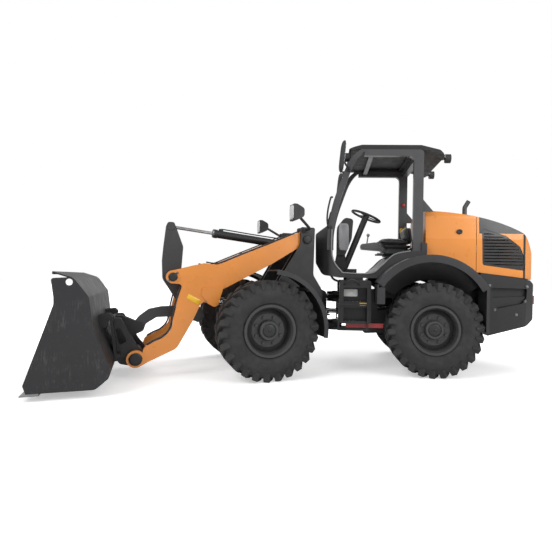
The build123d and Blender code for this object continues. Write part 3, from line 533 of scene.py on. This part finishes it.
frame_paint = paint("anthracite paint", anthracite, 0.46, 0.05, 0.05)
post_paint = paint("post paint", (0.052, 0.052, 0.055), 0.36, 0.3, 0.05)
orange_paint = paint("orange paint", orange, 0.30, 0.5, 0.06)
black_plastic = moulded("black plastic", plastic)
grey_plastic = moulded("grey plastic", trim_grey, 0.5)
edge_steel = bare_metal("worn edge steel", worn_steel, 0.38, (0.2, 1, 1))
rod_chrome = bare_metal("hard chrome", chrome, 0.16)
zinc = bare_metal("zinc plate", (0.30, 0.30, 0.31), 0.34)
hose = hose_rubber()
red_paint = paint("red paint", signal_red)

for end, turn in (("front", parked_turn), ("rear", 0.0)):
    for side in ("left", "right"):
        wheel = f"{end}_{side}"
        axle = joint_place[f"wheel_{wheel}_spin"]
        dress([f"tyre_{wheel}"], tyre_rubber(f"tyre rubber {end} {side}", axle, turn))
        dress([f"rim_{wheel}"], paint(f"rim paint {end} {side}", (0.034, 0.034, 0.035), 0.45, 0.1))
dress(["lift_arms", "hood_front_panel"], orange_paint)
dress(["engine_hood"], hood_finish())
# Painted light: the tub's paint is lifted above the frame's anthracite to offset the shadow on the cowl's
# front faces
dress(["cab_tub"], paint("tub paint lightened for shade", (0.026, 0.026, 0.028), 0.42, 0.15, 0.05))
dress(["rear_chassis", "front_chassis", "rear_axle", "front_axle", "counterweight", "engine_block",
       "step_boxes", "coupler", "tilt_barrel", "lift_barrels", "steering_barrel_left",
       "steering_barrel_right"], frame_paint)
dress(["rops_frame"], post_paint)
dress(["roof"], moulded("roof shell", (0.009, 0.009, 0.010), 0.6))
dress(["tilt_lever", "tilt_link"], paint("lever paint", (0.034, 0.034, 0.036), 0.4, 0.2, 0.05))
dress(["bucket"], paint("bucket paint", bucket_grey, 0.48, 0.04, 0.08, 0.10))
dress(["cutting_edge"], edge_steel)
dress(["tilt_rod", "lift_rods", "steering_rod_left", "steering_rod_right"], rod_chrome)
dress(["rear_fenders", "front_fenders", "mirrors", "work_lamps", "headlights", "steering_wheel",
       "steering_column", "seat"], black_plastic)
dress(["side_console"], grey_plastic)
dress(["lock_bar"], red_paint)
dress(["rear_lights"], clear_lens("tail lens", (0.36, 0.010, 0.012)))
dress(["exhaust_pipe"], bare_metal("dull pipe steel", (0.12, 0.12, 0.12), 0.5))

# Measures of the solids that the pieces stand on, in millimetres from the articulation pin
arm_face, arm_middle, tower_face = 383, 355, 424
post_middle, post_inner, console_side = -901.5, 480, 100
box_face, niche_wall, trim_side = 690, 580, 563
weight_face, hood_face = 500, 480
axle_reach, axle_level, hub_face = 1040, 495, 802
mirror_side, mirror_level, mirror_lean = 720, 2321, 0.10
work_lamp_level, seat_floor = 2395, 1311
wheel_tilt = math.radians(21.6)

left_out, right_out, left_y = (0, 1, 0), (0, -1, 0), (0, 1, 0)
forward_x, backward_x, up_z = (1, 0, 0), (-1, 0, 0), (0, 0, 1)
both = ((1, left_out), (-1, right_out))
named_sides = (("left", 1), ("right", -1))
thin_plate = plate_rows(2.5, 0.8)
flat_cap = [(4, 0), (0, 3), (0, 8), (6, 12), (22, 13)]


def pin_caps(x, y, z, radius, rows=flat_cap):
    """The round caps on the two ends of a cross pin."""
    return [boss((x, sign * y, z), outward, forward_x, (radius, radius), rows, place=ahead)
            for sign, outward in both]


# Arms: pin caps, blank plates and bolts
piece("linkage_pin_caps", joined(
    pin_caps(1925, arm_face + 8, 1006, 44, [(4, 0), (0, 3), (0, 10), (6, 16), (20, 17)])
    + pin_caps(2259, arm_face + 4, 201, 62, [(4, 0), (0, 3), (0, 8), (6, 13), (26, 14)])),
      "boom", frame_paint)
piece("tower_pin_caps", joined(
    pin_caps(525, tower_face + 10, 1440, 46) + pin_caps(395, tower_face, 600, 42)),
      "front_frame", frame_paint)
piece("lever_pivot_bolts", joined([
    hex_head((x, sign * (arm_face + 8), z), outward, forward_x, 9, 9, ahead)
    for sign, outward in both for x, z in ((1885, 1046), (1965, 966))]), "boom", zinc, False)

plate_yellow_paint = paint("yellow plate", plate_yellow, 0.4, 0.2, 0.03)
plate_white_paint = paint("white plate", (0.78, 0.78, 0.77), 0.4, 0.2, 0.03)
piece("arm_blank_plate", joined([
    boss((1722, sign * arm_face, 782), outward, (0.873, 0, 0.488), (70, 26), thin_plate, 9, place=ahead)
    for sign, outward in both]), "boom", plate_yellow_paint)
piece("cab_blank_plate", boss((post_middle, -post_inner, 1668), left_out, forward_x, (40, 34),
                              thin_plate, 9), "rear_frame", plate_yellow_paint)
piece("post_red_button", boss((post_middle, -post_inner, 2010), left_out, forward_x, (26, 26),
                              [(4, 0), (0, 3), (0, 9), (8, 14), (22, 15)]),
      "rear_frame", red_paint)
piece("box_white_plate", boss((-168, niche_wall, 862), left_out, forward_x, (78, 40), thin_plate, 9),
      "rear_frame", plate_white_paint)
piece("box_yellow_plate", boss((-300, box_face, 745), left_out, forward_x, (40, 14), thin_plate, 9),
      "rear_frame", plate_yellow_paint)

# Steel pipes clamped on the upper edge of each arm, and hoses down its front edge
for side, sign in named_sides:
    for k, offset in enumerate((-9, 9)):
        y = sign * (arm_middle + offset)
        piece(f"arm_pipe_{side}_{k + 1}", tube(
            [(620, y, 1525), (780, y, 1455), (1000, y, 1359), (1250, y, 1250), (1450, y, 1163),
             (1530, y, 1154), (1600, y, 1163)], 7, ahead), "boom", black_plastic)
    piece(f"arm_pipe_clamps_{side}", joined([
        boss((x, sign * arm_middle, z), (0.41, 0, 0.91), forward_x, (16, 22),
             [(1, -6), (0, -5), (0, 12), (4, 17)], 6, place=ahead)
        for x, z in ((790, 1438), (1100, 1301), (1400, 1169))]), "boom", frame_paint)
piece("coupler_hoses", joined([
    tube([(1850, sign * y, 905), (1880, sign * y, 820), (1924, sign * y, 615), (1942, sign * y, 500),
          (2008, sign * y, 418), (2100, sign * y, 372), (2160, sign * y, 336)], 8, ahead)
    for sign in (1, -1) for y in (343, 365)]), "boom", hose)

# Tilt cylinder: gland ring, port blocks and the pipe along the barrel
foot, head = np.array([610.0, 0.0, 1398.0]), np.array([1935.0, 0.0, 1545.0])
along = (head - foot) / np.linalg.norm(head - foot)
above = np.array([-along[2], 0.0, along[0]])


def by_tilt(distance, lift=0.0):
    """A place so far along the tilt cylinder from its foot, lifted square to it."""
    return tuple(foot + along * distance + above * lift)


piece("tilt_gland", boss(by_tilt(872), tuple(along), left_y, (47, 47),
                         [(3, -24), (0, -21), (0, 14), (10, 20), (24, 22)], place=ahead),
      "tilt_barrel", zinc)
piece("tilt_ports", joined([
    boss(by_tilt(distance, 40), tuple(above), tuple(along), (24, 20),
         [(2, -6), (0, -4), (0, 18), (4, 22)], 6, place=ahead)
    for distance in (120, 800)]), "tilt_barrel", frame_paint)
piece("tilt_pipe", tube([by_tilt(distance, lift) for distance, lift in
                         ((120, 58), (170, 62), (460, 60), (760, 62), (800, 58))], 7, ahead),
      "tilt_barrel", black_plastic)

# Lift cylinder glands
lift_foot, lift_head = np.array([395.0, 0.0, 600.0]), np.array([1515.0, 0.0, 755.0])
lift_along = (lift_head - lift_foot) / np.linalg.norm(lift_head - lift_foot)
gland_at = lift_foot + lift_along * 1020
piece("lift_glands", joined([
    boss((gland_at[0], sign * arm_middle, gland_at[2]), tuple(lift_along), left_y, (40, 40),
         [(3, -10), (0, -8), (0, 12), (8, 20), (16, 22)], place=ahead) for sign in (1, -1)]),
      "lift_barrels", zinc)

# Hoses clipped to the front frame's cross plate, and hoses under the cowl
piece("frame_hoses", joined([
    tube([(284, y, 850), (293, y, 815), (291, y, 700), (292, y, 560), (291, y, 470), (284, y, 435)],
         9, ahead)
    for y in (-90, -60, 60, 90)]), "front_frame", hose)
piece("cowl_hoses", joined([
    tube([(60, y, 1078), (20, y, 1012), (-60, y, 985), (-190, y, 1000), (-330, y, 990)], 12)
    for y in (340, 372, 404)]), "rear_frame", hose)

# Bolts of the counterweight
bolt_places = ((-1706, 968), (-2110, 962), (-2092, 800), (-1764, 700), (-2000, 650))
piece("weight_bolts", joined([
    hex_head((x, sign * weight_face, z), outward, forward_x, 12, 12)
    for sign, outward in both for x, z in bolt_places]), "rear_frame", zinc, False)

# Oval cap on each side of the hood's fixed panel, and the latch of the hood
piece("hood_side_cap", joined([
    boss((-1370, sign * hood_face, 1560), outward, forward_x, (34, 27),
         [(3, 0), (0, 3), (0, 7), (5, 11), (14, 11), (16, 8)]) for sign, outward in both]),
      "rear_frame", black_plastic)
piece("hood_latch", boss((-2150, 0, 1250), (-1, 0, 0.12), left_y, (60, 18),
                         [(3, -16), (0, -12), (0, 12), (6, 18)], 5),
      "engine_hood", black_plastic)

# Sill trim round each doorway, hand rails on the front posts, grips on the step boxes
trim_paint = paint("pale trim", (0.20, 0.20, 0.205), 0.4, 0.2, 0.03)
for side, sign in named_sides:
    y = sign * trim_side
    piece(f"sill_trim_{side}", tube(
        [(46, y, 1560), (48, y, 1340), (18, y, 1205), (-58, y, 1105), (-112, y, 1081),
         (-388, y, 1081), (-505, y, 1166), (-640, y, 1288), (-820, y, 1333)], 8),
          "rear_frame", trim_paint)
    piece(f"hand_rail_{side}", tube(
        [(48, sign * 541, 1920), (66, sign * 575, 1905), (92, sign * 585, 1790),
         (102, sign * 582, 1680), (92, sign * 560, 1590), (80, sign * 541, 1580)], 10),
          "rear_frame", frame_paint)
    piece(f"door_grip_{side}", tube(
        [(-95, sign * 693, 950), (-120, sign * 722, 985), (-176, sign * 728, 1008),
         (-232, sign * 722, 985), (-258, sign * 693, 950)], 8),
          "rear_frame", black_plastic)


# Wheel-house wall inside each rear arch: it closes the view over the tyre

def wheel_house(sign):
    """A pressed sheet swept round the arch's middle, its free edge on a circle just over the tyre.

    In the direction u from the arch's middle that circle is met at d.u + sqrt((d.u)^2 - d.d + R^2),
    where d points to the axle. A drop of 40 or less is taken from the arch's shell; the places of
    1000 and 999 are the free edge and the bend beside it.
    """
    stations, arch_x, arch_z = 70, -990, 605
    angle = np.radians(np.linspace(34, 149, stations))[:, None]
    to_axle, clear, shell = np.array([-50.0, -110.0]), 525.0, 659.0
    nearer = to_axle[0] * np.cos(angle) + to_axle[1] * np.sin(angle)
    edge = nearer + np.sqrt(nearer ** 2 - to_axle @ to_axle + clear ** 2)
    across = np.array([740, 610, 578, 564, 561, 555, 552, 552, 558, 574, 606, 740])
    share = np.array([0, 0, 8, 40, 999, 1000, 999, 40, 2, -1, -5, -5])
    drop = np.where(share > 900, shell - edge - (1000 - share), share)
    radius = shell - 1 - drop
    x, z = arch_x + radius * np.cos(angle), arch_z + radius * np.sin(angle)
    return skin(x, sign * across, z, turned_over=sign < 0)


piece("wheel_house_walls", joined([wheel_house(1), wheel_house(-1)]),
      "rear_frame", black_plastic)

# Mirrors: rounded heads on bent arms stand for the plain ones, and the lamps get lenses
glass = mirror_glass()


def mirror_head(sign):
    """Rings of |u/a|^3 + |v/b|^3 = 1, smaller towards both ends, in a stack that leans back."""
    share = np.sin(np.linspace(-math.pi / 2, math.pi / 2, 26)[1:-1])[:, None]
    turn = full_turn(48)[None]
    full = (1 - np.abs(share) ** 5) ** 0.45
    u = 27 * full * signed_power(np.cos(turn), 2 / 3)
    v = 78 * full ** 0.6 * signed_power(np.sin(turn), 2 / 3)
    u = np.where(u > 0, u * (1.25 - 0.35 * (v / 78) ** 2), np.maximum(u, -19 * full))
    z = mirror_level + 166 * share
    return skin(-56 - mirror_lean * (z - mirror_level) + u, sign * mirror_side + v, z)


def mirror_arm(sign):
    return tube([(-131, sign * 548, 2230), (-118, sign * 600, 2232), (-92, sign * 655, 2252),
                 (-62, sign * 690, 2296)], 11)


def mirror_foot(sign):
    return boss((-131, sign * 540, 2230), (0, sign, 0), forward_x, (20, 26),
                [(3, 0), (0, 3), (0, 11), (4, 15)], 5)


new_mirrors = piece("mirror_heads", joined(
    [shape(sign) for shape in (mirror_head, mirror_arm, mirror_foot) for sign in (1, -1)]),
                    "rear_frame", black_plastic)
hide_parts("mirrors")
piece("mirror_glasses", joined([
    boss((-75, sign * mirror_side, mirror_level), (-1, 0, -mirror_lean), left_y, (66, 142),
         plate_rows(3, 1), 4)
    for sign in (1, -1)]), "rear_frame", glass)
white_lens = clear_lens("white lens", (0.88, 0.89, 0.90))
lamp_rows = [(4, 0), (0, 2), (0, 6), (10, 10), (34, 12)]
work_lamp_rows = [(3, 0), (0, 2), (10, 5), (30, 6)]
piece("head_lamp_lenses", joined([
    boss((796, sign * 704, 1682), forward_x, left_y, (64, 72), lamp_rows, 5, place=ahead)
    for sign in (1, -1)]), "front_frame", white_lens)
piece("work_lamp_lenses", joined([
    boss((x, sign * y, work_lamp_level), facing, left_y, (42, 42), work_lamp_rows)
    for x, y, facing in ((-86, 420, forward_x), (-1274, 395, backward_x)) for sign in (1, -1)]),
      "rear_frame", white_lens)

# Cap on the steering wheel's boss, and pale panels on the console's sides
rim_normal = (-math.sin(wheel_tilt), 0, math.cos(wheel_tilt))
cap_foot = (-371 - 15 * math.sin(wheel_tilt), 0, 1786 + 15 * math.cos(wheel_tilt))
piece("wheel_boss_cap", boss(cap_foot, rim_normal, left_y, (36, 36),
                             [(3, -2), (0, 0), (0, 6), (8, 12), (24, 14)]),
      "steering_wheel", black_plastic)
piece("console_panel", joined([
    boss((-98, sign * console_side, 1520), (0, sign, 0), forward_x, (62, 165),
         [(5, 0), (0, 4), (0, 8), (4, 12), (16, 12), (20, 8)], 5) for sign in (1, -1)]),
      "rear_frame", grey_plastic)

# Hub caps with a nut each
for end, x, place in (("front", axle_reach, ahead), ("rear", -axle_reach, at)):
    for side, sign in named_sides:
        outward = (0, sign, 0)
        piece(f"hub_cap_{end}_{side}", joined([
            boss((x, sign * hub_face, axle_level), outward, forward_x, (66, 66),
                 [(4, -4), (0, 0), (0, 3), (10, 8), (40, 10)], place=place),
            hex_head((x, sign * (hub_face + 9), axle_level), outward, forward_x, 13, 10, place)]),
            f"wheel_{end}_{side}", frame_paint)

# Raised lozenges on the floor of each foothold
piece("step_tread", joined([
    boss((-312 + 39 * k, sign * y, level), up_z, (1, 0.6 * (-1) ** (k + row), 0), (13, 4),
         [(1, -1), (0, 0), (1.5, 2)], columns=12)
    for sign in (1, -1) for level in (560, 770) for row, y in enumerate((612, 652)) for k in range(6)]),
      "rear_frame", zinc)


# Seat: the solid seat is replaced by a shell with two stuffed pads

def pad(name, centre, half, lean, crown, fill):
    """Stuffed pad: the outline is |u|^4 + |v|^4 = 1 and the side is a flattened half circle.

    Its top is crowned by (1 - u^2)(1 - v^2); then cloth pressure swells it, as stuffing would.
    """
    up, turn = np.linspace(-math.pi / 2, math.pi / 2, 40)[1:-1, None], full_turn(64)[None]
    u = half[0] * signed_power(np.cos(up), 0.55) * signed_power(np.cos(turn), 0.5)
    v = half[1] * signed_power(np.cos(up), 0.55) * signed_power(np.sin(turn), 0.5)
    w = half[2] * signed_power(np.sin(up), 0.77) * np.ones_like(turn)
    w += np.where(w > 0, crown * (1 - (u / half[0]) ** 2) * (1 - (v / half[1]) ** 2), 0)
    x = centre[0] + u * math.cos(lean) - w * math.sin(lean)
    z = centre[2] + u * math.sin(lean) + w * math.cos(lean)
    made = piece(name, skin(x, centre[1] + v, z), "rear_frame", vinyl)
    bpy.context.view_layer.objects.active = made
    swell(made)
    sew(made, centre, lean, half)
    finer = made.modifiers.new("finer", "SUBSURF")
    finer.levels = finer.render_levels = 1
    return made


def vertex_places(made):
    flat = np.empty(len(made.data.vertices) * 3, np.float32)
    made.data.vertices.foreach_get("co", flat)
    return flat.reshape(-1, 3)


def move_vertices(made, places):
    made.data.vertices.foreach_set("co", places.ravel())
    made.data.update()


def sew(made, centre, lean, half):
    """Presses sewn channels into the top, each a trough of depth * exp(-(distance / width)^2)."""
    points = vertex_places(made)
    local = (points - at([centre])[0]) * 1000
    u = local[:, 0] * math.cos(lean) + local[:, 2] * math.sin(lean)
    w = -local[:, 0] * math.sin(lean) + local[:, 2] * math.cos(lean)
    top = np.clip(w / (0.4 * half[2]), 0, 1)
    depth, width, border = 5.0, 6.5, 0.62
    trough = np.zeros(len(points))
    for place in (-border, border):
        trough = np.maximum(trough, np.exp(-((local[:, 1] - place * half[1]) / width) ** 2))
    for place in (-0.5, 0.0, 0.5):
        across = np.exp(-((u - place * half[0]) / width) ** 2) * (np.abs(local[:, 1]) < border * half[1])
        trough = np.maximum(trough, across)
    drop = depth / 1000 * trough * top
    points[:, 0] += drop * math.sin(lean)
    points[:, 2] -= drop * math.cos(lean)
    move_vertices(made, points)


def piping(centre, half, lean):
    """Cord sewn round the pad's widest line, |u|^4 + |v|^4 = 1 at w = 0, as points for a tube."""
    turn, proud = np.linspace(0, 2 * math.pi, 49), 5
    u = (half[0] + proud) * signed_power(np.cos(turn), 0.5)
    v = (half[1] + proud) * signed_power(np.sin(turn), 0.5)
    return np.stack([centre[0] + u * math.cos(lean), centre[1] + v, centre[2] + u * math.sin(lean)], -1)


def swell(made):
    """Remeshes the pad, lets cloth pressure fill it, and caps how far a point may move."""
    voxel, pressure, frames, cap = 0.006, 4.0, 20, 0.010
    remesh = made.modifiers.new("voxels", "REMESH")
    remesh.mode = "VOXEL"
    remesh.voxel_size = voxel
    apply_modifiers(made)
    before = vertex_places(made)
    cloth = made.modifiers.new("stuffing", "CLOTH")
    cloth.settings.use_pressure = True
    cloth.settings.uniform_pressure_force = pressure
    cloth.settings.effector_weights.gravity = 0.0
    for number in range(1, frames + 1):
        bpy.context.scene.frame_set(number)
    apply_modifiers(made)
    bpy.context.scene.frame_set(1)
    step = vertex_places(made) - before
    reach = np.linalg.norm(step, axis=1, keepdims=True)
    step *= np.minimum(1.0, cap / np.maximum(reach, 1e-9))
    move_vertices(made, before + step)


def apply_modifiers(made):
    """Makes the shape that the modifiers give the piece's own mesh."""
    settled = bpy.data.meshes.new_from_object(made.evaluated_get(bpy.context.evaluated_depsgraph_get()))
    settled.polygons.foreach_set("use_smooth", np.full(len(settled.polygons), True))
    made.modifiers.clear()
    made.data = settled


vinyl = seat_cover()
cushion_form = ((-690, 0, 1458), (175, 212, 34), 0.05)
back_form = ((-852, 0, 1566), (80, 205, 26), 1.38)
cushion = pad("seat_cushion", *cushion_form, crown=10, fill=0.8)
pad("seat_back", *back_form, crown=8, fill=0.8)
piece("seat_shell", boss(
    (-735, 0, seat_floor), up_z, forward_x, (170, 180),
    [(20, 0), (0, 4), (6, 40), (30, 60), (30, 78), (0, 92), (0, 110), (8, 114)], 5),
      "rear_frame", black_plastic)
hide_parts("seat")
piece("seat_rails", joined([
    boss((-700, sign * 120, seat_floor), up_z, forward_x, (200, 16), plate_rows(22, 3), 8)
    for sign in (1, -1)]), "rear_frame", zinc)
piece("seat_back_shell", boss(
    (-885, 0, 1545), (-1, 0, 0.12), left_y, (205, 95),
    [(10, -14), (0, -8), (0, 4), (8, 10), (40, 14)], 5), "rear_frame", black_plastic)
piece("seat_piping", joined([
    tube(piping(*form), 4, steps=2) for form in (cushion_form, back_form)]),
      "rear_frame", vinyl)
